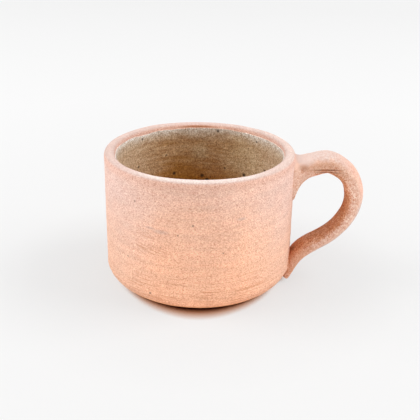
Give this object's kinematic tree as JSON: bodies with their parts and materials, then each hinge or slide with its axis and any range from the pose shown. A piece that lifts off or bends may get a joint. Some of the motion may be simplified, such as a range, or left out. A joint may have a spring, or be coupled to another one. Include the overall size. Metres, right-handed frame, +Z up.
{
  "type": "cup",
  "caption": "Low round stoneware cup with a pulled side handle, bare clay outside and a thin glaze inside, standing on a trimmed foot.",
  "frame": {"origin": "middle of the foot, on the surface that the cup stands on", "axes": "+Z up through the mouth, +X from the cup's middle towards the handle, +Y away from the viewer when the handle is on the right"},
  "size_m": [0.1301, 0.095, 0.0684],
  "materials": {
    "bare_clay": "bare, fine pale grit in salmon-pink clay",
    "liner_glaze": "satin, thin brown-grey with iron specks",
    "handle_clay": "bare, fine pale grit in salmon-orange clay",
    "slip": "bare, fired slip"
  },
  "bodies": {
    "root": {"thrown_cup": "bare_clay", "liner_glaze": "liner_glaze", "handle": "handle_clay", "upper_root_coil": "handle_clay", "upper_slip_joint": "slip", "lower_slip_joint": "slip"}
  },
  "joints": []
}
